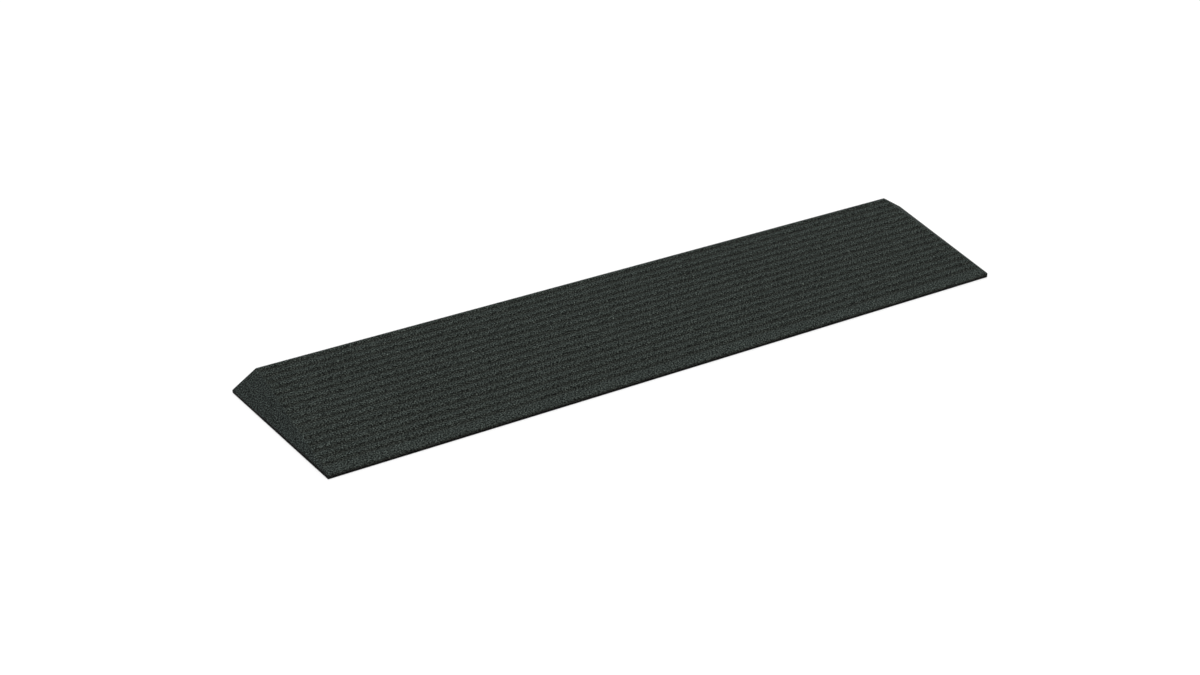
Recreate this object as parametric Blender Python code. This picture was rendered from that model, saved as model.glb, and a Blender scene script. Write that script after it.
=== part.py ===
"""Rubber threshold ramp: a low moulded wedge with a ribbed slope and a plain
wing falling away at each end, held down by adhesive strips in its underside.

Metres, +Z up. X runs along the doorway. Y runs from the low front lip (-Y) to
the upright face that butts against the sill (+Y). The origin is on the floor,
under the middle of the ramp.
"""

import math

import bmesh
import bpy
from mathutils import Vector

# ---- Wedge ----
TOP_WIDTH = 0.9080  # ribbed slope, from crease to crease
DEPTH = 0.2164  # front lip to sill face
HEIGHT = 0.0240  # floor to the top of the sill face
LIP_TOP = 0.0059  # floor to the top of the lip, along the front
WING_TIP_TOP = 0.0038  # floor to the top of the side lips where they end at the back
WING_REACH = 0.0306  # how far each wing stands past its crease at the back
UNDERSIDE = 0.0005  # the rubber stands this far off the floor, on its liners
LIP_RADIUS = 0.0025  # round along the top of the front and side lips
CORNER_RADIUS = 0.0008  # round on the upright corners and the back top edges
ROUND_SEGMENTS = 3

# ---- Ribbed slope: distances along the slope, from the top of the front lip ----
GROOVE_COUNT = 16
GROOVE_PITCH = 0.0127
FIRST_GROOVE = 0.0191  # middle of the first groove
GROOVE_MOUTH = 0.0084  # width at the surface
GROOVE_FLOOR = 0.0032  # width at the bottom
GROOVE_DEPTH = 0.0010
GROOVE_END_LAND = 0.0006  # plain rubber between a groove's mouth and the crease
CUT_ABOVE = 0.0005  # how far the groove cutters stand above the slope

# ---- Adhesive strips and their seats ----
STRIP_LENGTH = 0.1500
STRIP_WIDTH = 0.0254
STRIP_THICKNESS = 0.0011
STRIP_CORNER = 0.0020
CONTACT_GAP = 0.0003  # clearance kept wherever two pieces lie against each other
STRIP_X = (-0.345, -0.115, 0.115, 0.345)
ROW_INSET = 0.0300  # middle of each row, in from the front lip and the sill face

# ---- Release liners ----
LINER_THICKNESS = 0.0002
TAB_LENGTH = 0.0120
TAB_WIDTH = 0.0160
TAB_CORNER = 0.0050

CORNER_SEGMENTS = 4

FRONT_Y = -DEPTH / 2
BACK_Y = DEPTH / 2
HALF_TOP = TOP_WIDTH / 2
SLOPE = math.atan2(HEIGHT - LIP_TOP, DEPTH)
UP_SLOPE = Vector((0, math.cos(SLOPE), math.sin(SLOPE)))
OFF_SLOPE = Vector((0, -math.sin(SLOPE), math.cos(SLOPE)))


def clear_scene():
    for obj in list(bpy.data.objects):
        bpy.data.objects.remove(obj, do_unlink=True)


def make_material(name, colour, roughness):
    material = bpy.data.materials.new(name)
    material.use_nodes = True
    shader = material.node_tree.nodes["Principled BSDF"]
    shader.inputs["Base Color"].default_value = (*colour, 1.0)
    shader.inputs["Roughness"].default_value = roughness
    shader.inputs["Metallic"].default_value = 0.0
    material.diffuse_color = (*colour, 1.0)
    return material


def mesh_from(bm, name, material=None):
    bmesh.ops.recalc_face_normals(bm, faces=bm.faces)
    mesh = bpy.data.meshes.new(name)
    bm.to_mesh(mesh)
    bm.free()
    if material:
        mesh.materials.append(material)
    return mesh


def place(name, mesh, location=(0, 0, 0), turn=0.0, parent=None):
    obj = bpy.data.objects.new(name, mesh)
    bpy.context.scene.collection.objects.link(obj)
    obj.location = location
    obj.rotation_euler = (0, 0, turn)
    obj.parent = parent
    return obj


def as_cutter(obj):
    obj.hide_render = True
    obj.display_type = "WIRE"
    return obj


def cut(obj, cutter, name):
    boolean = obj.modifiers.new(name, "BOOLEAN")
    boolean.operation = "DIFFERENCE"
    boolean.solver = "EXACT"
    boolean.object = cutter


# ---- Outlines, as lists of (x, y) running anticlockwise ----


def arc(centre, radius, start, end, segments):
    return [
        (
            centre[0] + radius * math.cos(start + (end - start) * i / segments),
            centre[1] + radius * math.sin(start + (end - start) * i / segments),
        )
        for i in range(segments + 1)
    ]


def strip_outline(length, width, corner):
    x, y = length / 2 - corner, width / 2 - corner
    points = []
    for quarter, centre in enumerate(((x, y), (-x, y), (-x, -y), (x, -y))):
        start = quarter * math.pi / 2
        points += arc(centre, corner, start, start + math.pi / 2, CORNER_SEGMENTS)
    return points


def liner_outline():
    """The strip's own outline with a finger tab at its +X end."""
    tab_end = STRIP_LENGTH / 2 + TAB_LENGTH - TAB_CORNER
    tab_side = TAB_WIDTH / 2 - TAB_CORNER
    points = arc((tab_end, -tab_side), TAB_CORNER, -math.pi / 2, 0, CORNER_SEGMENTS)
    points += arc((tab_end, tab_side), TAB_CORNER, 0, math.pi / 2, CORNER_SEGMENTS)
    points.append((STRIP_LENGTH / 2, TAB_WIDTH / 2))
    points += strip_outline(STRIP_LENGTH, STRIP_WIDTH, STRIP_CORNER)
    points.append((STRIP_LENGTH / 2, -TAB_WIDTH / 2))
    return points


def add_slab(bm, outline, bottom, top, centre=(0, 0)):
    """A flat plate with vertical sides, over the outline."""
    face = bm.faces.new(
        [bm.verts.new((centre[0] + x, centre[1] + y, bottom)) for x, y in outline]
    )
    raised = bmesh.ops.extrude_face_region(bm, geom=[face])
    moved = [v for v in raised["geom"] if isinstance(v, bmesh.types.BMVert)]
    bmesh.ops.translate(bm, verts=moved, vec=(0, 0, top - bottom))


# ---- The moulded wedge ----


def wedge_mesh(material):
    bm = bmesh.new()
    half_back = HALF_TOP + WING_REACH

    def corner(x, y, z):
        return bm.verts.new((x, y, z))

    # underside, then the top of the lip above it, then the back top edge
    base = [
        corner(-HALF_TOP, FRONT_Y, UNDERSIDE),
        corner(HALF_TOP, FRONT_Y, UNDERSIDE),
        corner(half_back, BACK_Y, UNDERSIDE),
        corner(-half_back, BACK_Y, UNDERSIDE),
    ]
    lip_heights = (LIP_TOP, LIP_TOP, WING_TIP_TOP, WING_TIP_TOP)
    lip = [corner(v.co.x, v.co.y, z) for v, z in zip(base, lip_heights)]
    peak_left = corner(-HALF_TOP, BACK_Y, HEIGHT)
    peak_right = corner(HALF_TOP, BACK_Y, HEIGHT)

    bm.faces.new(base[::-1])
    bm.faces.new((base[0], base[1], lip[1], lip[0]))  # front lip
    bm.faces.new((base[1], base[2], lip[2], lip[1]))  # right lip
    bm.faces.new((base[3], base[0], lip[0], lip[3]))  # left lip
    bm.faces.new((base[2], base[3], lip[3], peak_left, peak_right, lip[2]))  # sill face
    bm.faces.new((lip[0], lip[1], peak_right, peak_left))  # ribbed slope
    bm.faces.new((lip[0], peak_left, lip[3]))  # left wing
    bm.faces.new((lip[1], lip[2], peak_right))  # right wing

    def edge(a, b):
        return next(e for e in a.link_edges if e.other_vert(a) is b)

    # each edge's share of the lip radius
    share = bm.edges.layers.float.new("bevel_weight_edge")
    for a, b in ((lip[0], lip[1]), (lip[1], lip[2]), (lip[3], lip[0])):
        edge(a, b)[share] = 1.0
    small = [(lip[2], peak_right), (peak_right, peak_left), (peak_left, lip[3])]
    for a, b in small + list(zip(base, lip)):
        edge(a, b)[share] = CORNER_RADIUS / LIP_RADIUS
    return mesh_from(bm, "wedge", material)


def round_edges(obj):
    bevel = obj.modifiers.new("rounded edges", "BEVEL")
    bevel.limit_method = "WEIGHT"
    bevel.offset_type = "OFFSET"
    bevel.width = LIP_RADIUS
    bevel.segments = ROUND_SEGMENTS
    bevel.profile = 0.5


def groove_cutter_mesh():
    """One flared bar for each groove, lying in the slope."""
    bm = bmesh.new()
    front_edge = Vector((0, FRONT_Y, LIP_TOP))
    spread = (GROOVE_MOUTH - GROOVE_FLOOR) / 2 / GROOVE_DEPTH  # flare of the walls
    mouth_half = HALF_TOP - GROOVE_END_LAND
    for index in range(GROOVE_COUNT):
        along = FIRST_GROOVE + index * GROOVE_PITCH
        rings = []
        for level in (-GROOVE_DEPTH, CUT_ABOVE):
            half_x = mouth_half + level  # the ends slope at 45 degrees
            half_s = GROOVE_MOUTH / 2 + spread * level
            ring = []
            for x, s in ((-1, -1), (1, -1), (1, 1), (-1, 1)):
                point = front_edge + UP_SLOPE * (along + s * half_s)
                point += OFF_SLOPE * level + Vector((x * half_x, 0, 0))
                ring.append(bm.verts.new(point))
            rings.append(ring)
        bmesh.ops.bridge_loops(
            bm,
            edges=[
                bm.edges.new((ring[i], ring[(i + 1) % 4]))
                for ring in rings
                for i in range(4)
            ],
        )
        bm.faces.new(rings[0])
        bm.faces.new(rings[1])
    return mesh_from(bm, "groove_bars")


def seat_cutter_mesh(spots):
    """One shallow pocket for each adhesive strip, open at the underside."""
    bm = bmesh.new()
    outline = strip_outline(
        STRIP_LENGTH + 2 * CONTACT_GAP,
        STRIP_WIDTH + 2 * CONTACT_GAP,
        STRIP_CORNER + CONTACT_GAP,
    )
    roof = UNDERSIDE + STRIP_THICKNESS + CONTACT_GAP
    for _, x, y in spots:
        add_slab(bm, outline, UNDERSIDE - 0.001, roof, (x, y))
    return mesh_from(bm, "strip_seats")


def plate_mesh(name, outline, thickness, material):
    bm = bmesh.new()
    add_slab(bm, outline, 0.0, thickness)
    return mesh_from(bm, name, material)


def main():
    clear_scene()

    rubber = make_material("crumb_rubber", (0.033, 0.040, 0.037), 0.92)
    foam = make_material("adhesive_foam", (0.060, 0.062, 0.065), 0.75)
    film = make_material("liner_film", (0.780, 0.745, 0.640), 0.45)

    ramp = bpy.data.objects.new("ramp", None)
    bpy.context.scene.collection.objects.link(ramp)

    spots = [
        (f"{row}_{number}", x, y)
        for row, y in (("front", FRONT_Y + ROW_INSET), ("rear", BACK_Y - ROW_INSET))
        for number, x in enumerate(STRIP_X, 1)
    ]

    body = place("ramp_body", wedge_mesh(rubber), parent=ramp)
    grooves = as_cutter(place("groove_cutter", groove_cutter_mesh(), parent=ramp))
    seats = as_cutter(place("seat_cutter", seat_cutter_mesh(spots), parent=ramp))
    round_edges(body)
    cut(body, grooves, "ribbed slope")
    cut(body, seats, "strip seats")

    strip = plate_mesh(
        "adhesive_strip",
        strip_outline(STRIP_LENGTH, STRIP_WIDTH, STRIP_CORNER),
        STRIP_THICKNESS,
        foam,
    )
    liner = plate_mesh("release_liner", liner_outline(), LINER_THICKNESS, film)
    for spot, x, y in spots:
        turn = 0.0 if x > 0 else math.pi  # finger tabs point to the nearer wing
        place(f"adhesive_strip_{spot}", strip, (x, y, UNDERSIDE), turn, ramp)
        place(f"release_liner_{spot}", liner, (x, y, 0.0), turn, ramp)


main()
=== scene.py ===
import math

import bmesh
import bpy
import numpy as np
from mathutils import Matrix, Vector, noise
from mathutils.geometry import delaunay_2d_cdt


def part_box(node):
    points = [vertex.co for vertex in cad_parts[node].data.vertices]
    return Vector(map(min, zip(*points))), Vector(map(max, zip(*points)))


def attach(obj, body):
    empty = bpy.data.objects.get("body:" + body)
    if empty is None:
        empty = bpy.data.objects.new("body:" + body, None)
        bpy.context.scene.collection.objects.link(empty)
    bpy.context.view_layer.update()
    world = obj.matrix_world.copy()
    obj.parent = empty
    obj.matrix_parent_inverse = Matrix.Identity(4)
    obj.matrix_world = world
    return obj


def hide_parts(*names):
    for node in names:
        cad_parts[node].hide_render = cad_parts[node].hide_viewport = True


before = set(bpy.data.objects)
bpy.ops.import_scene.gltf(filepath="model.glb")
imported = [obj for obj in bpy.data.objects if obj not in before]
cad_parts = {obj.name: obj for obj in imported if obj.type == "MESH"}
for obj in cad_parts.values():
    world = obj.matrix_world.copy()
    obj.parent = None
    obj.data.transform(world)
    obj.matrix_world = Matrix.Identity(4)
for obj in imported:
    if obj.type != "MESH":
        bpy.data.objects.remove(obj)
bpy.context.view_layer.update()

# ---------------------------------------------------------------- sizes (m)
# The wedge, as the fixed frame has it. X runs along the doorway, Y from the
# low front lip up to the sill face.
HALF_TOP = 0.4540        # middle to the crease
DEPTH = 0.2164
FRONT_Y, BACK_Y = -DEPTH / 2, DEPTH / 2
HEIGHT = 0.0240
LIP_TOP = 0.0059
WING_TIP_TOP = 0.0038
WING_REACH = 0.0306
UNDERSIDE = 0.0005
LIP_ROUND = 0.0025       # from the lip's edge to where its round ends, each way
SIDE_ROUND = 0.0009
BACK_ROUND = 0.0008

RISE = (HEIGHT - LIP_TOP) / DEPTH                    # of the slope
WING_FALL = (HEIGHT - WING_TIP_TOP) / WING_REACH     # of each wing, away from the crease
SLOPE = math.atan(RISE)
COS_S = math.cos(SLOPE)
CREASE_SOFT = 0.0002

GROOVE_COUNT = 16
GROOVE_PITCH = 0.0127
FIRST_GROOVE = 0.0191    # up the slope from the front lip
HALF_MOUTH = 0.0045      # downhill of the groove's middle
HALF_MOUTH_UP = 0.0042   # uphill of it
HALF_FLOOR = 0.0011
HALF_FLOOR_UP = 0.0018
GROOVE_DEPTH = 0.0009

STRIP_X = (-0.345, -0.115, 0.115, 0.345)
ROW_INSET = 0.0300
SEAT_LENGTH, SEAT_WIDTH, SEAT_CORNER, SEAT_DEPTH = 0.1506, 0.0260, 0.0023, 0.0014

COLUMN = 0.0024          # spacing of the slope's columns


# ---------------------------------------------------------------- helpers


def smooth(x):
    x = np.clip(x, 0.0, 1.0)
    return x * x * (3 - 2 * x)


def perlin(points, size, seed):
    """Perlin noise at an (n, 3) array of points, in cells of the given size."""
    off = Vector((17.3 * seed, -9.1 * seed, 4.7 * seed))
    return np.array([noise.noise(Vector(p) / size + off) for p in points])


def slope_height(x, y):
    """The plain top of the wedge: the slope, and the wings beyond the crease."""
    beyond = np.abs(x) - HALF_TOP
    beyond = (beyond + np.sqrt(beyond * beyond + CREASE_SOFT**2)) / 2
    return LIP_TOP + RISE * (y - FRONT_Y) - WING_FALL * beyond


def side_x(y):
    """Half width of the outline at y."""
    return HALF_TOP + WING_REACH * (y - FRONT_Y) / DEPTH


# ---------------------------------------------------------------- top surface

# The side lip's round starts this far inside the outline, measured along X.
WING_ANGLE = math.atan(WING_FALL)
SIDE_LEAN = math.atan(WING_REACH / DEPTH)
SIDE_INSET = SIDE_ROUND * math.cos(WING_ANGLE) / math.cos(SIDE_LEAN)
FRONT_INSET = LIP_ROUND * COS_S
BACK_INSET = BACK_ROUND * COS_S
APEX_Y = FRONT_Y + SIDE_INSET * DEPTH / WING_REACH   # where the crease leaves the round


def row_layout():
    """Distances up the slope of the rows, and which of them leaves the round of the side lips."""
    apex = (APEX_Y - FRONT_Y) / COS_S
    middles = [FIRST_GROOVE + k * GROOVE_PITCH for k in range(GROOVE_COUNT)]
    rows = [LIP_ROUND, LIP_ROUND + 0.0008]
    start, stop, count = rows[-1], middles[0] - HALF_MOUTH, 9
    rows += [start + (stop - start) * i / count for i in range(1, count)]
    for middle in middles:
        rows += [middle + u for u in (-0.0045, -0.0035, -0.0027, -0.0020, -0.0011, 0.0003, 0.0018, 0.0025, 0.0030, 0.0035, 0.0042)]
        rows.append(middle + GROOVE_PITCH / 2)
    rows.pop()
    edge, last = rows[-1], DEPTH / COS_S - BACK_ROUND
    rows += [edge + (last - edge) * part for part in (0.25, 0.5, 0.75, 1.0)]
    near = min(range(len(rows)), key=lambda i: abs(rows[i] - apex))
    rows[near] = apex
    return rows, near


ROWS, APEX_ROW = row_layout()
ROW_Y = np.array([FRONT_Y + along * COS_S for along in ROWS])


def column_layout():
    """Columns as shares of the half width, even but for the last ones at the crease."""
    ends = (0.0008, 0.0018, 0.0034)
    inner = HALF_TOP - 0.0056
    n = int(round(2 * inner / COLUMN))
    middle = np.linspace(-inner, inner, n + 1)
    left = [-HALF_TOP] + [-HALF_TOP + e for e in ends]
    return np.concatenate([left, middle, [-v for v in reversed(left)]])


COLS = column_layout()


def groove_wobble(xs, k, seed):
    """How far a groove's edge strays from its line, along X."""
    at = np.zeros((len(xs), 3))
    at[:, 0] = xs
    at[:, 1] = k * 0.37
    fine = perlin(at, 0.0050, seed) * 0.00032
    broad = perlin(at, 0.045, seed + 3) * 0.00020
    return fine + broad


def top_grid():
    """The slope between the creases: an (rows, columns, 3) array of points and how
    deep in a groove each one is, 0 to 1."""
    n_rows, n_cols = len(ROWS), len(COLS)
    points = np.zeros((n_rows, n_cols, 3))
    depth = np.zeros((n_rows, n_cols))
    # grooves keep to their lines where they run out at the crease
    away = smooth((HALF_TOP - np.abs(COLS)) / 0.012)
    ends = smooth((HALF_TOP - np.abs(COLS) - 0.0004) / 0.0016)
    edges = {}
    for k in range(GROOVE_COUNT):
        edges[k, -1] = groove_wobble(COLS, k, 1) * away
        edges[k, 1] = groove_wobble(COLS, k, 2) * away
    for r, along in enumerate(ROWS):
        k = min(max(round((along - FIRST_GROOVE) / GROOVE_PITCH), 0), GROOVE_COUNT - 1)
        u = along - FIRST_GROOVE - k * GROOVE_PITCH
        shift = np.zeros(n_cols)
        inside = 0.0
        if abs(u) < HALF_MOUTH + 1e-6:
            part = min(max((u + HALF_FLOOR) / (HALF_FLOOR + HALF_FLOOR_UP), 0.0), 1.0)
            shift = edges[k, -1] * (1 - part) + edges[k, 1] * part
            half, flat_to = (HALF_MOUTH, HALF_FLOOR) if u < 0 else (HALF_MOUTH_UP, HALF_FLOOR_UP)
            inside = float(smooth((half - abs(u)) / (half - flat_to)))
        x = COLS.copy()
        y = FRONT_Y + (along + shift) * COS_S
        end = side_x(ROW_Y[r]) - SIDE_INSET
        if end < HALF_TOP:  # the side lip's round cuts into the slope here
            squeeze = smooth((np.abs(COLS) - (HALF_TOP - 0.0300)) / 0.0300)
            x = COLS - np.sign(COLS) * squeeze * (HALF_TOP - end)
        points[r, :, 0] = x
        points[r, :, 1] = y
        depth[r] = inside * ends
    points[:, :, 2] = slope_height(points[:, :, 0], points[:, :, 1])
    return points, depth


def crumb_relief(points, seed=0):
    """The uneven face that pressed crumb has."""
    small = perlin(points, 0.0027, 5 + seed)
    large = perlin(points, 0.0130, 6 + seed)
    return np.clip(0.00007 * small + 0.00003 * large, -0.00025, 0.00012)


class Shell:
    """Collects the body's points and faces."""

    def __init__(self):
        self.points, self.depth, self.low, self.faces = [], [], [], []

    def add(self, points, depth=None, low=None):
        """depth: how deep in a groove; low: how far down a lip. Both 0 to 1."""
        first = len(self.points)
        self.points.extend(tuple(float(c) for c in p) for p in points)
        self.depth.extend([0.0] * len(points) if depth is None else [float(d) for d in depth])
        self.low.extend([0.0] * len(points) if low is None else [float(d) for d in low])
        return list(range(first, first + len(points)))


shell = Shell()
grid, grid_depth = top_grid()
n_rows, n_cols = grid_depth.shape
flat = grid.reshape(-1, 3)
down = crumb_relief(flat).reshape(n_rows, n_cols)
floor_noise = perlin(flat * np.array([0.45, 1.0, 1.0]), 0.0052, 9).reshape(n_rows, n_cols)
groove = grid_depth * GROOVE_DEPTH * (1.0 + 0.35 * floor_noise)
grid[:, :, 2] += down * (1 - 0.3 * grid_depth) - groove
at = shell.add(flat, (grid_depth * (1.0 + 0.35 * floor_noise)).reshape(-1))
GRID = np.array(at).reshape(n_rows, n_cols)
for r in range(n_rows - 1):
    for c in range(n_cols - 1):
        shell.faces.append((GRID[r, c], GRID[r, c + 1], GRID[r + 1, c + 1], GRID[r + 1, c]))


# ---- wings: a triangle at each end, from the crease to the side lip's round


def back_round(x):
    """The round on the back top edge, wider at the wing tips."""
    tip = HALF_TOP + WING_REACH
    return BACK_ROUND + (SIDE_ROUND - BACK_ROUND) * smooth(1 - (tip - np.abs(x)) / 0.009)


def wing(sign):
    """Adds a wing, and gives the points along its side lip (front to back) and along
    its back edge (from the crease out)."""
    rows = range(APEX_ROW, n_rows)
    column = n_cols - 1 if sign > 0 else 0
    crease = [int(GRID[r, column]) for r in rows]
    plan = [(shell.points[i][0], shell.points[i][1]) for i in crease]
    ids = list(crease)

    tip = HALF_TOP + WING_REACH
    corner_y = BACK_Y - float(back_round(tip)) * COS_S
    side = []
    for r in list(rows)[1:]:
        y = ROW_Y[r]
        if y < corner_y - 0.0016:
            side.append((sign * (side_x(y) - SIDE_INSET), y))
    y = corner_y - 0.0008
    side.append((sign * (side_x(y) - SIDE_INSET), y))
    corner = (sign * (side_x(corner_y) - SIDE_INSET), corner_y)
    side.append(corner)
    back = []
    x = abs(corner[0]) - 0.0008
    while x > HALF_TOP + 0.0012:
        back.append((sign * x, BACK_Y - float(back_round(x)) * COS_S))
        x -= 0.0019
    back.reverse()  # from the crease out

    new = side + back
    inner = []
    step = 0.0021
    y, line = APEX_Y + 0.004, 0
    while y < BACK_Y - 0.0022:
        reach = side_x(y) - SIDE_INSET
        x = HALF_TOP + (0.0007 if line % 2 else 0.0014)
        while x < reach - 0.0011:
            near_back = BACK_Y - float(back_round(x)) * COS_S - y
            if near_back > 0.0011:
                inner.append((sign * x, y))
            x += step
        y += step * 0.87
        line += 1
    new += inner
    shake = perlin(np.array([(a, b, 0.0) for a, b in inner]), 0.0013, 12)
    shake2 = perlin(np.array([(a, b, 0.0) for a, b in inner]), 0.0013, 13)
    for i in range(len(inner)):
        a, b = inner[i]
        new[len(side) + len(back) + i] = (a + 0.0004 * shake[i], b + 0.0004 * shake2[i])
    new = np.array(new)
    z = slope_height(new[:, 0], new[:, 1])
    pts = np.column_stack([new, z])
    pts[:, 2] += crumb_relief(pts)
    fresh = shell.add(pts)
    ids += fresh
    plan += [tuple(p) for p in new]

    side_ids = [crease[0]] + fresh[: len(side)]
    back_ids = [crease[-1]] + fresh[len(side) : len(side) + len(back)] + [side_ids[-1]]
    loop = side_ids + back_ids[-2::-1] + crease[-2:0:-1]
    index = {v: i for i, v in enumerate(ids)}
    loop = [index[v] for v in loop]
    edges = [(loop[i], loop[(i + 1) % len(loop)]) for i in range(len(loop))]
    out = delaunay_2d_cdt([Vector(p) for p in plan], edges, [], 1, 1e-7)
    back_to = [ids[o[0]] for o in out[3]]
    for face in out[2]:
        shell.faces.append(tuple(back_to[i] for i in face))
    return side_ids, back_ids


right_side, right_back = wing(1)
left_side, left_back = wing(-1)

# ---------------------------------------------------------------- lips and sill face
# The loop round the top, anticlockwise from the front left corner. Each entry is
# (index, x and y on the outline, round there, share of the circle, corner or not).


def outline_loop():
    loop = []
    front = [int(i) for i in GRID[0]]
    span = abs(shell.points[front[-1]][0])
    for n, i in enumerate(front):
        x = shell.points[i][0] / span * HALF_TOP
        if n in (0, len(front) - 1):
            loop.append((i, (x, FRONT_Y), (LIP_ROUND + SIDE_ROUND) / 2, "corner"))
        else:
            loop.append((i, (x, FRONT_Y), LIP_ROUND, "front"))
    right_low = [int(GRID[r, n_cols - 1]) for r in range(1, APEX_ROW)]
    y0 = shell.points[front[-1]][1]
    y1 = shell.points[right_side[-1]][1]

    def on_side(i, sign):
        y = shell.points[i][1]
        y = FRONT_Y + (y - y0) / (y1 - y0) * DEPTH
        return (sign * side_x(y), y)

    for i in right_low + right_side[:-1]:
        loop.append((i, on_side(i, 1), SIDE_ROUND, "side"))
    tip = HALF_TOP + WING_REACH
    inner_tip = abs(shell.points[right_side[-1]][0])

    def on_back(i):
        x = shell.points[i][0]
        beyond = abs(x) - HALF_TOP
        if beyond > 0:
            x = math.copysign(HALF_TOP + beyond / (inner_tip - HALF_TOP) * WING_REACH, x)
        return (x, BACK_Y)

    loop.append((right_side[-1], (tip, BACK_Y), SIDE_ROUND, "corner"))
    for i in right_back[-2:0:-1]:
        loop.append((i, on_back(i), float(back_round(shell.points[i][0])), "back"))
    for i in [int(v) for v in GRID[n_rows - 1][::-1]]:
        loop.append((i, on_back(i), BACK_ROUND, "back"))
    for i in left_back[1:-1]:
        loop.append((i, on_back(i), float(back_round(shell.points[i][0])), "back"))
    loop.append((left_side[-1], (-tip, BACK_Y), SIDE_ROUND, "corner"))
    left_low = [int(GRID[r, 0]) for r in range(1, APEX_ROW)]
    for i in left_side[-2::-1] + left_low[::-1]:
        loop.append((i, on_side(i, -1), SIDE_ROUND, "side"))
    return loop


LOOP = outline_loop()
CORNER_PULL = {"front": 0.00006, "back": 0.00032}
BOTTOM_ROUND = 0.00030
ROUND_STEPS = 4
WALL_STEPS = 4


def inward(place):
    """Unit vector from an outline point towards the inside, in plan."""
    x, y = place[0]
    kind = place[1]
    if kind == "front":
        return (0.0, 1.0)
    if kind == "back":
        return (0.0, -1.0)
    s = 1 if x > 0 else -1
    side = (-s * math.cos(SIDE_LEAN), math.sin(SIDE_LEAN))
    if kind == "side":
        return side
    other = (0.0, 1.0) if y < 0 else (0.0, -1.0)
    v = Vector((side[0] + other[0], side[1] + other[1])).normalized()
    return (v.x, v.y)


def skirt():
    """Rings of points from the top's loop, round its edge and down to the underside."""
    inner = np.array([shell.points[i] for i, *_ in LOOP])
    outer = np.array([p for _, p, _, _ in LOOP])
    normal = np.array([inward((p, kind)) for _, p, _, kind in LOOP])
    corner = np.array([kind == "corner" for *_, kind in LOOP])
    radius = np.array([r for _, _, r, _ in LOOP])
    edge = slope_height(outer[:, 0], outer[:, 1])
    pull = np.where(outer[:, 1] < 0, CORNER_PULL["front"], CORNER_PULL["back"]) * corner
    away = np.hypot(np.abs(outer[:, 0]) - HALF_TOP, outer[:, 1] - FRONT_Y)  # from a front corner
    outer = outer + normal * pull[:, None]
    turn = np.where(np.array([kind == "side" for *_, kind in LOOP]), 56.4, 85.2)
    turn = np.where(np.array([kind == "back" for *_, kind in LOOP]), 94.8, turn)
    weight = np.cos(np.radians(turn / 2)) * (1 + 3 * smooth(1 - away / 0.006))  # crisper at the front corners
    foot = edge - radius
    rings = []
    for j in range(1, ROUND_STEPS + 1):
        t = j / ROUND_STEPS
        a, b, c = (1 - t) ** 2, 2 * weight * t * (1 - t), t * t
        total = a + b + c
        xy = (inner[:, :2] * a + outer * (b + c)[:, None]) / total[:, None]
        z = (inner[:, 2] * a + edge * b + foot * c) / total
        rings.append((xy, z))
    low = UNDERSIDE + BOTTOM_ROUND
    for j in range(1, WALL_STEPS + 1):
        t = j / WALL_STEPS
        rings.append((outer, foot + (low - foot) * t))
    rings.append((outer + normal * BOTTOM_ROUND * 0.29, np.full(len(LOOP), UNDERSIDE + BOTTOM_ROUND * 0.29)))
    rings.append((outer + normal * BOTTOM_ROUND, np.full(len(LOOP), UNDERSIDE)))
    rings.append((outer + normal * 0.00065, np.full(len(LOOP), UNDERSIDE)))
    # how far down a lip, which sets the painted shade at the lips' foot: weaker on the sill face, full from
    # halfway down the side lips
    reach = np.where(np.array([kind == "back" for *_, kind in LOOP]), 0.3, 1.0)
    dark_from = np.where(np.array([kind == "side" for *_, kind in LOOP]), 0.50, 1.0)
    before = [i for i, *_ in LOOP]
    count = len(rings)
    for j, (xy, z) in enumerate(rings):
        pts = np.column_stack([xy, z])
        if 0 < j < count - 3:
            rough = 0.00006 - crumb_relief(pts, 20)
            pts[:, :2] += normal * rough[:, None]
        low_share = np.clip((edge - z) / (edge - UNDERSIDE) / dark_from, 0, 1) * reach
        if j == count - 1:
            low_share = low_share * 0.3
        ring = shell.add(pts, low=low_share)
        for n in range(len(ring)):
            m = (n + 1) % len(ring)
            shell.faces.append((before[n], ring[n], ring[m], before[m]))
        before = ring
    return before


bottom = skirt()

# ---------------------------------------------------------------- underside with its seats


def seat_outline(cx, cy):
    points = []
    x, y, r = SEAT_LENGTH / 2 - SEAT_CORNER, SEAT_WIDTH / 2 - SEAT_CORNER, SEAT_CORNER
    for quarter, (a, b) in enumerate(((x, y), (-x, y), (-x, -y), (x, -y))):
        for i in range(5):
            angle = (quarter + i / 4) * math.pi / 2
            points.append((cx + a + r * math.cos(angle), cy + b + r * math.sin(angle)))
    return points


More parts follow.
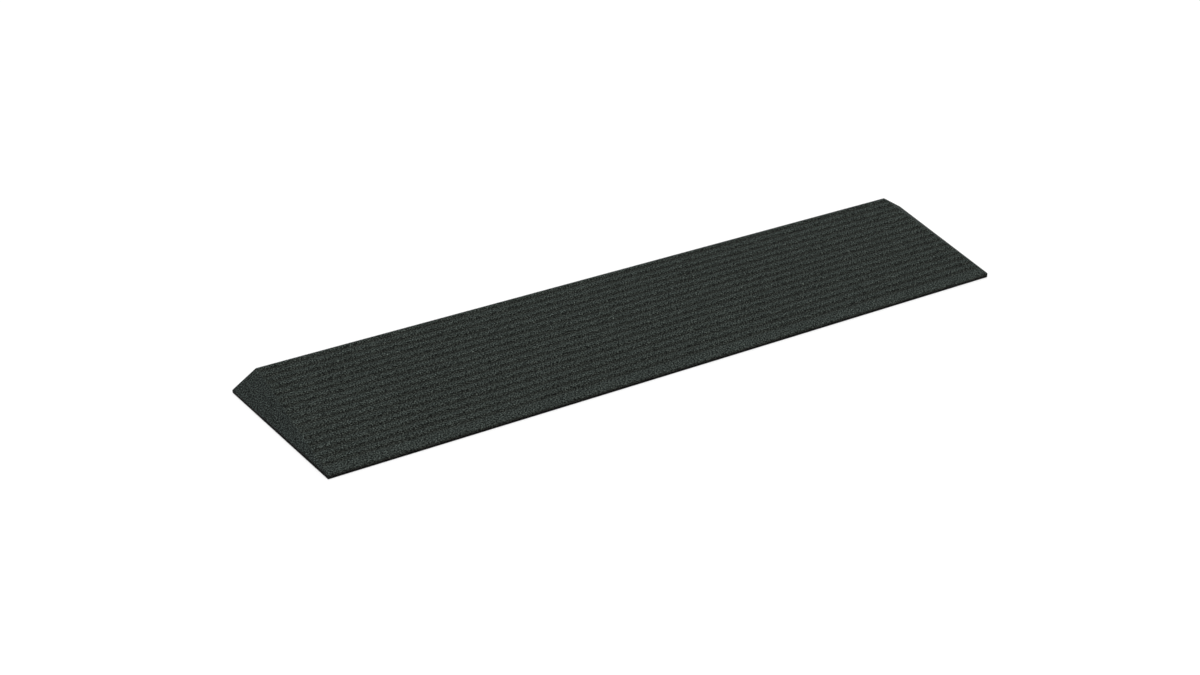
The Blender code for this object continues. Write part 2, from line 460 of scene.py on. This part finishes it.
def underside():
    ids = list(bottom)
    plan = [shell.points[i][:2] for i in ids]
    edges = [(i, (i + 1) % len(ids)) for i in range(len(ids))]
    boxes = []
    for cy in (FRONT_Y + ROW_INSET, BACK_Y - ROW_INSET):
        for cx in STRIP_X:
            outline = seat_outline(cx, cy)
            mouth = shell.add([(x, y, UNDERSIDE) for x, y in outline])
            roof = shell.add([(x, y, UNDERSIDE + SEAT_DEPTH) for x, y in outline])
            n = len(outline)
            for i in range(n):
                shell.faces.append((mouth[i], roof[i], roof[(i + 1) % n], mouth[(i + 1) % n]))
            shell.faces.append(tuple(roof))
            first = len(ids)
            ids += mouth
            plan += outline
            edges += [(first + i, first + (i + 1) % n) for i in range(n)]
            boxes.append((cx, cy))
    spread = []
    y = FRONT_Y + 0.006
    while y < BACK_Y - 0.005:
        x = -side_x(y) + 0.008
        while x < side_x(y) - 0.006:
            clear = all(
                abs(x - cx) > SEAT_LENGTH / 2 + 0.003 or abs(y - cy) > SEAT_WIDTH / 2 + 0.003
                for cx, cy in boxes
            )
            if clear:
                spread.append((x, y))
            x += 0.012
        y += 0.011
    ids += shell.add([(x, y, UNDERSIDE) for x, y in spread])
    plan += spread
    out = delaunay_2d_cdt([Vector(p) for p in plan], edges, [], 1, 1e-7)
    back_to = [ids[o[0]] for o in out[3]]
    for face in out[2]:
        cx = sum(out[0][i][0] for i in face) / len(face)
        cy = sum(out[0][i][1] for i in face) / len(face)
        in_seat = any(
            abs(cx - a) < SEAT_LENGTH / 2 and abs(cy - b) < SEAT_WIDTH / 2
            and not (
                abs(cx - a) > SEAT_LENGTH / 2 - SEAT_CORNER
                and abs(cy - b) > SEAT_WIDTH / 2 - SEAT_CORNER
                and math.hypot(abs(cx - a) - SEAT_LENGTH / 2 + SEAT_CORNER, abs(cy - b) - SEAT_WIDTH / 2 + SEAT_CORNER) > SEAT_CORNER
            )
            for a, b in boxes
        )
        if not in_seat:
            shell.faces.append(tuple(back_to[i] for i in face[::-1]))


underside()


def build_body():
    lo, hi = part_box("ramp_body")
    points = np.array(shell.points)
    points = np.clip(points, np.array(lo), np.array(hi))
    mesh = bpy.data.meshes.new("ramp_body_crumb")
    mesh.from_pydata([tuple(p) for p in points], [], shell.faces)
    mesh.update()
    for name, values in (("groove", shell.depth), ("lip", shell.low)):
        attribute = mesh.attributes.new(name, "FLOAT", "POINT")
        attribute.data.foreach_set("value", np.clip(np.array(values), 0, 1.6).astype(np.float32))
    bm = bmesh.new()
    bm.from_mesh(mesh)
    bmesh.ops.recalc_face_normals(bm, faces=bm.faces)
    open_edges = sum(1 for e in bm.edges if len(e.link_faces) != 2)
    bm.to_mesh(mesh)
    bm.free()
    mesh.shade_smooth()
    mesh.set_sharp_from_angle(angle=math.radians(62))
    obj = bpy.data.objects.new("ramp_body_crumb", mesh)
    bpy.context.scene.collection.objects.link(obj)
    triangles = sum(len(p.vertices) - 2 for p in mesh.polygons)
    print("body", len(points), "points", triangles, "triangles", open_edges, "open edges")
    return obj


body = build_body()

# ---------------------------------------------------------------- materials
GRANULES = 1.00          # granules in a millimetre
FINES = 1.9
FINES_SHARE = 0.10
TONE_SPREAD = 1.485      # of the granules, lightest to darkest
EVENNESS = 0.70          # how far the tones round a granule make up for its own
EVEN_REACH = 1.8         # mm
# GROOVE_POWER darkens the darker granules further in the grooves, as part of their painted shade
TONE_POWER, GROOVE_POWER = 2.2, 0.72
# painted shade in the pits between granules
PIT_SHADE = 0.10
FLECKS = 0.8             # stray pale crumbs, in a millimetre
FLECK_SHARE = 0.012
FLECK_LIFT = 0.80        # how much paler they are
GROOVE_SHADE = 0.512      # painted shade: how much darker a groove is
LIP_FOOT_SHADE = 0.03          # painted shade: what is left of the tone at a lip's foot
# painted shade: the wings, tilted away from the overhead light, are darker in colour
WING_SHADE = 0.705
WING_SPREAD = 0.15       # how much further apart a wing's tones are
WING_FINER = 0.12        # and how much smaller its granules


class Nodes:
    """Short calls for building a node tree."""

    def __init__(self, name):
        self.material = bpy.data.materials.new(name)
        self.material.use_nodes = True
        self.tree = self.material.node_tree
        self.shader = self.tree.nodes["Principled BSDF"]

    def add(self, kind, **values):
        node = self.tree.nodes.new("ShaderNode" + kind)
        for key, value in values.items():
            setattr(node, key, value)
        return node

    def link(self, source, target):
        self.tree.links.new(source, target)

    def feed(self, socket, value):
        if isinstance(value, (int, float)):
            socket.default_value = value
        elif isinstance(value, tuple):
            socket.default_value = value
        else:
            self.link(value, socket)

    def math(self, operation, a, b=None, c=None, clamp=False):
        node = self.add("Math", operation=operation, use_clamp=clamp)
        for socket, value in zip(node.inputs, (a, b, c)):
            if value is not None:
                self.feed(socket, value)
        return node.outputs[0]

    def ramp(self, value, low, high, out_low=0.0, out_high=1.0, kind="SMOOTHSTEP"):
        node = self.add("MapRange", interpolation_type=kind)
        for name, v in (("Value", value), ("From Min", low), ("From Max", high), ("To Min", out_low), ("To Max", out_high)):
            self.feed(node.inputs[name], v)
        return node.outputs["Result"]

    def noise(self, vector, scale, detail=2.0, roughness=0.5):
        node = self.add("TexNoise", noise_dimensions="3D")
        self.link(vector, node.inputs["Vector"])
        node.inputs["Scale"].default_value = scale
        node.inputs["Detail"].default_value = detail
        node.inputs["Roughness"].default_value = roughness
        return node.outputs["Fac"]

    def cells(self, vector, scale, feature="F1"):
        node = self.add("TexVoronoi", voronoi_dimensions="3D", feature=feature)
        self.link(vector, node.inputs["Vector"])
        node.inputs["Scale"].default_value = scale
        return node

    def split(self, colour):
        node = self.add("SeparateColor")
        self.link(colour, node.inputs[0])
        return node.outputs

    def scaled(self, vector, size):
        node = self.add("VectorMath", operation="MULTIPLY")
        self.link(vector, node.inputs[0])
        node.inputs[1].default_value = size
        return node.outputs[0]


def crumb_rubber():
    n = Nodes("crumb_rubber_granules")
    place = n.add("TexCoord").outputs["Object"]
    mm = n.scaled(place, (1000.0, 1000.0, 1000.0))
    xyz = n.add("SeparateXYZ")
    n.link(mm, xyz.inputs[0])
    across = n.math("ABSOLUTE", xyz.outputs["X"])
    beyond = n.ramp(across, HALF_TOP * 1000 - 1.0, HALF_TOP * 1000 + 1.0)
    past = n.math("GREATER_THAN", across, HALF_TOP * 1000)
    finer = n.add("VectorMath", operation="SCALE")
    n.link(mm, finer.inputs[0])
    n.link(n.math("MULTIPLY_ADD", past, WING_FINER, 1.0), finer.inputs["Scale"])
    mm = finer.outputs[0]
    fall = n.math("MULTIPLY", past, n.math("SIGN", xyz.outputs["X"]))  # which way the top falls

    # granules of two sizes, pressed together
    big = n.cells(mm, GRANULES)
    small = n.cells(mm, FINES)
    big_rnd = n.split(big.outputs["Color"])
    small_rnd = n.split(small.outputs["Color"])
    fines = n.math("LESS_THAN", big_rnd[1], FINES_SHARE)  # where small crumb fills in

    def pick(a, b):
        """a where there are fines, b elsewhere"""
        mix = n.add("Mix", data_type="FLOAT")
        n.link(fines, mix.inputs[0])
        n.feed(mix.inputs[2], b)
        n.feed(mix.inputs[3], a)
        return mix.outputs[0]

    rnd = pick(small_rnd[0], big_rnd[0])
    hue = pick(small_rnd[2], big_rnd[2])
    # the pits between them, which get painted shade
    pit = pick(n.ramp(small.outputs["Distance"], 0.35, 0.75), n.ramp(big.outputs["Distance"], 0.35, 0.75))

    # grooves: painted shade darkens them, with edges that break up among the granules
    depth = n.add("Attribute", attribute_type="GEOMETRY", attribute_name="groove").outputs["Fac"]
    breakup = n.math("SUBTRACT", n.noise(n.scaled(mm, (0.7, 1.0, 1.0)), 0.8, 2.0, 0.6), 0.5)
    mask = n.math("ADD", depth, n.math("MULTIPLY", breakup, n.math("MULTIPLY", depth, 0.45)), clamp=True)
    groove_shade_factor = n.math("MULTIPLY_ADD", mask, -GROOVE_SHADE, 1.0)

    # light and dark granules, well mixed: a granule's tone is less the average tone a short
    # way off, so no patch of them is lighter than the next
    around = None
    for i in range(3):
        angle = 0.4 + i * math.tau / 3
        step = n.add("CombineXYZ")
        step.inputs["X"].default_value = EVEN_REACH * math.cos(angle)
        step.inputs["Y"].default_value = EVEN_REACH * math.sin(angle)
        n.link(n.math("MULTIPLY", fall, -WING_FALL * EVEN_REACH * math.cos(angle)), step.inputs["Z"])
        aside = n.add("VectorMath", operation="ADD")
        n.link(mm, aside.inputs[0])
        n.link(step.outputs[0], aside.inputs[1])
        other = n.split(n.cells(aside.outputs[0], GRANULES).outputs["Color"])[0]
        around = other if around is None else n.math("ADD", around, other)
    even = n.math("ADD", rnd, n.math("MULTIPLY_ADD", around, -EVENNESS / 3, EVENNESS / 2))
    reach = n.math("MULTIPLY_ADD", beyond, TONE_SPREAD * WING_SPREAD, TONE_SPREAD)
    spread = n.math("MAXIMUM", n.math("MULTIPLY_ADD", n.math("SUBTRACT", even, 0.5), reach, 1.0), 0.0)
    # in the grooves the darker granules go darker still: painted shade
    tone = n.math("POWER", spread, n.math("MULTIPLY_ADD", mask, GROOVE_POWER, TONE_POWER))

    # a few stray pale crumbs
    fleck = n.math("LESS_THAN", n.split(n.cells(mm, FLECKS).outputs["Color"])[1], FLECK_SHARE)
    tone = n.math("MULTIPLY", tone, n.math("MULTIPLY_ADD", fleck, FLECK_LIFT, 1.0))

    # slow unevenness, drawn out along the ribs
    broad = n.noise(n.scaled(mm, (0.5, 1.0, 1.0)), 0.16, 2.0, 0.55)
    broad = n.ramp(broad, 0.25, 0.75, 0.98, 1.02, "LINEAR")
    batch = n.ramp(n.noise(mm, 0.026, 1.0), 0.25, 0.75, 0.96, 1.04, "LINEAR")
    broad = n.math("MULTIPLY", broad, batch)

    # painted shade: the lips darken towards the floor, standing in for the shade at their foot
    low = n.add("Attribute", attribute_type="GEOMETRY", attribute_name="lip").outputs["Fac"]
    shade_wobble = n.math("MULTIPLY", n.math("SUBTRACT", n.noise(mm, 0.5, 2.0), 0.5), 0.25)
    lip = n.math("MULTIPLY", low, n.math("ADD", shade_wobble, 1.0), clamp=True)
    low = n.math("POWER", n.ramp(lip, 0.0, 1.0, 1.0, LIP_FOOT_SHADE, "LINEAR"), 1.42)

    # painted shade on the wings, which tilt away from the light
    wing = n.math("MULTIPLY_ADD", beyond, WING_SHADE - 1.0, 1.0)

    value = n.math("MULTIPLY", tone, groove_shade_factor)
    value = n.math("MULTIPLY", value, broad)
    value = n.math("MULTIPLY", value, low)
    value = n.math("MULTIPLY", value, wing)
    # painted shade in the pits between granules
    value = n.math("MULTIPLY", value, n.math("MULTIPLY_ADD", pit, -PIT_SHADE, 1.0))

    # grey-green rubber, bluer or warmer from granule to granule
    tint = n.add("Mix", data_type="RGBA", blend_type="MIX")
    n.link(hue, tint.inputs[0])
    tint.inputs[6].default_value = (0.02546, 0.03044, 0.02693, 1.0)
    tint.inputs[7].default_value = (0.02472, 0.03074, 0.02849, 1.0)
    # the grooves' painted shade is warmer in hue
    groove_shade_hue = n.add("Mix", data_type="RGBA", blend_type="MIX")
    n.link(n.math("MULTIPLY", mask, 0.75), groove_shade_hue.inputs[0])
    n.link(tint.outputs[2], groove_shade_hue.inputs[6])
    groove_shade_hue.inputs[7].default_value = (0.0262, 0.0297, 0.0255, 1.0)
    # the lips' painted shade is also warmer in hue
    lip_shade_hue = n.add("Mix", data_type="RGBA", blend_type="MIX")
    n.link(lip, lip_shade_hue.inputs[0])
    n.link(groove_shade_hue.outputs[2], lip_shade_hue.inputs[6])
    lip_shade_hue.inputs[7].default_value = (0.0307, 0.0297, 0.0231, 1.0)
    cool = n.add("Mix", data_type="RGBA", blend_type="MULTIPLY")
    n.link(beyond, cool.inputs[0])
    n.link(lip_shade_hue.outputs[2], cool.inputs[6])
    cool.inputs[7].default_value = (0.995, 1.003, 1.026, 1.0)
    colour = n.add("VectorMath", operation="SCALE")
    n.link(cool.outputs[2], colour.inputs[0])
    n.link(value, colour.inputs["Scale"])
    n.link(colour.outputs[0], n.shader.inputs["Base Color"])

    rough = n.ramp(pick(small_rnd[1], big_rnd[1]), 0.0, 1.0, 0.80, 0.98, "LINEAR")
    n.link(rough, n.shader.inputs["Roughness"])
    n.shader.inputs["Specular IOR Level"].default_value = 0.08
    n.shader.inputs["Metallic"].default_value = 0.0

    dome = pick(n.ramp(small.outputs["Distance"], 0.0, 0.5, 0.5, 0.0), n.ramp(big.outputs["Distance"], 0.0, 0.6, 1.0, 0.0))
    bump = n.add("Bump")
    n.link(dome, bump.inputs["Height"])
    bump.inputs["Strength"].default_value = 0.5
    bump.inputs["Distance"].default_value = 0.00018
    n.link(bump.outputs["Normal"], n.shader.inputs["Normal"])
    return n.material


def adhesive_foam():
    n = Nodes("adhesive_foam_cells")
    place = n.add("TexCoord").outputs["Object"]
    mm = n.scaled(place, (1000.0, 1000.0, 1000.0))
    cell = n.cells(mm, 2.4)
    edge = n.cells(mm, 2.4, "DISTANCE_TO_EDGE").outputs["Distance"]
    cloud = n.noise(mm, 0.12, 3.0)
    value = n.math("MULTIPLY", n.ramp(edge, 0.0, 0.12, 0.7, 1.0), n.ramp(cloud, 0.3, 0.7, 0.9, 1.12, "LINEAR"))
    colour = n.add("VectorMath", operation="SCALE")
    colour.inputs[0].default_value = (0.060, 0.062, 0.065)
    n.link(value, colour.inputs["Scale"])
    n.link(colour.outputs[0], n.shader.inputs["Base Color"])
    n.link(n.ramp(cloud, 0.3, 0.7, 0.62, 0.82, "LINEAR"), n.shader.inputs["Roughness"])
    bump = n.add("Bump")
    n.link(n.ramp(cell.outputs["Distance"], 0.0, 0.6), bump.inputs["Height"])
    bump.inputs["Strength"].default_value = 0.5
    bump.inputs["Distance"].default_value = 0.0001
    n.link(bump.outputs["Normal"], n.shader.inputs["Normal"])
    return n.material


def liner_film():
    n = Nodes("liner_film_silicone")
    place = n.add("TexCoord").outputs["Object"]
    mm = n.scaled(place, (1000.0, 1000.0, 1000.0))
    fibre = n.noise(n.scaled(mm, (0.18, 1.0, 1.0)), 0.9, 4.0, 0.65)
    cloud = n.noise(mm, 0.045, 3.0)
    mix = n.add("Mix", data_type="RGBA", blend_type="MIX")
    n.link(n.ramp(n.math("ADD", n.math("MULTIPLY", fibre, 0.6), n.math("MULTIPLY", cloud, 0.4)), 0.3, 0.7), mix.inputs[0])
    mix.inputs[6].default_value = (0.700, 0.655, 0.540, 1.0)
    mix.inputs[7].default_value = (0.820, 0.790, 0.690, 1.0)
    n.link(mix.outputs[2], n.shader.inputs["Base Color"])
    n.link(n.ramp(cloud, 0.3, 0.7, 0.34, 0.52, "LINEAR"), n.shader.inputs["Roughness"])
    bump = n.add("Bump")
    n.link(n.math("ADD", fibre, n.math("MULTIPLY", cloud, 3.0)), bump.inputs["Height"])
    bump.inputs["Strength"].default_value = 0.35
    bump.inputs["Distance"].default_value = 0.0001
    n.link(bump.outputs["Normal"], n.shader.inputs["Normal"])
    return n.material


body.data.materials.append(crumb_rubber())
foam, film = adhesive_foam(), liner_film()
for name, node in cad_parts.items():
    if name.startswith("adhesive_strip"):
        for piece_slot in node.material_slots:
            piece_slot.material = foam
    if name.startswith("release_liner"):
        for piece_slot in node.material_slots:
            piece_slot.material = film

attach(body, "root")
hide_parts("ramp_body")

# ---------------------------------------------------------------- floor, light, camera


def make_floor():
    """A flat round floor that sweeps up at its far rim."""
    level, sweep, spokes, steps = 22.5, 5.5, 96, 18
    profile = [(level * share, 0.0) for share in (0.25, 0.5, 1.0)]
    for i in range(1, steps + 1):
        angle = i / steps * math.pi / 2
        profile.append((level + sweep * math.sin(angle), sweep - sweep * math.cos(angle)))
    points, faces = [(0.0, 0.0, 0.0)], []
    for r, z in profile:
        for i in range(spokes):
            angle = i / spokes * math.tau
            points.append((r * math.cos(angle), r * math.sin(angle), z))
    for i in range(spokes):
        j = (i + 1) % spokes
        faces.append((0, 1 + i, 1 + j))
        for ring in range(len(profile) - 1):
            a, b = 1 + ring * spokes, 1 + (ring + 1) * spokes
            faces.append((a + i, b + i, b + j, a + j))
    mesh = bpy.data.meshes.new("studio_floor")
    mesh.from_pydata(points, [], faces)
    mesh.shade_smooth()
    floor = bpy.data.objects.new("studio_floor", mesh)
    bpy.context.scene.collection.objects.link(floor)
    n = Nodes("studio_floor_paint")
    n.shader.inputs["Base Color"].default_value = (0.98, 0.98, 0.98, 1.0)
    n.shader.inputs["Roughness"].default_value = 1.0
    n.shader.inputs["Specular IOR Level"].default_value = 0.0
    mesh.materials.append(n.material)
    return floor


make_floor()

scene = bpy.context.scene
world = bpy.data.worlds.new("studio")
world.use_nodes = True
background = world.node_tree.nodes["Background"]
background.inputs["Color"].default_value = (1.0, 1.0, 1.0, 1.0)
background.inputs["Strength"].default_value = 0.30
scene.world = world

key = bpy.data.lights.new("key", "SUN")
key.energy = 2.427
key.angle = math.radians(24)
key_obj = bpy.data.objects.new("key", key)
key_obj.rotation_euler = Vector((-0.05, -0.12, 1.0)).to_track_quat("Z", "Y").to_euler()
scene.collection.objects.link(key_obj)

camera = bpy.data.cameras.new("camera")
camera.sensor_width = 36.0
camera.lens = 49.435
camera.clip_end = 60.0
camera_obj = bpy.data.objects.new("camera", camera)
camera_obj.location = (-0.91598, -1.48816, 1.00541)
camera_obj.rotation_euler = (math.radians(59.757), 0.0, math.radians(-29.880))
scene.collection.objects.link(camera_obj)
scene.camera = camera_obj

scene.view_settings.view_transform = "Standard"
scene.view_settings.look = "None"
scene.view_settings.exposure = 0.0

bpy.context.view_layer.update()
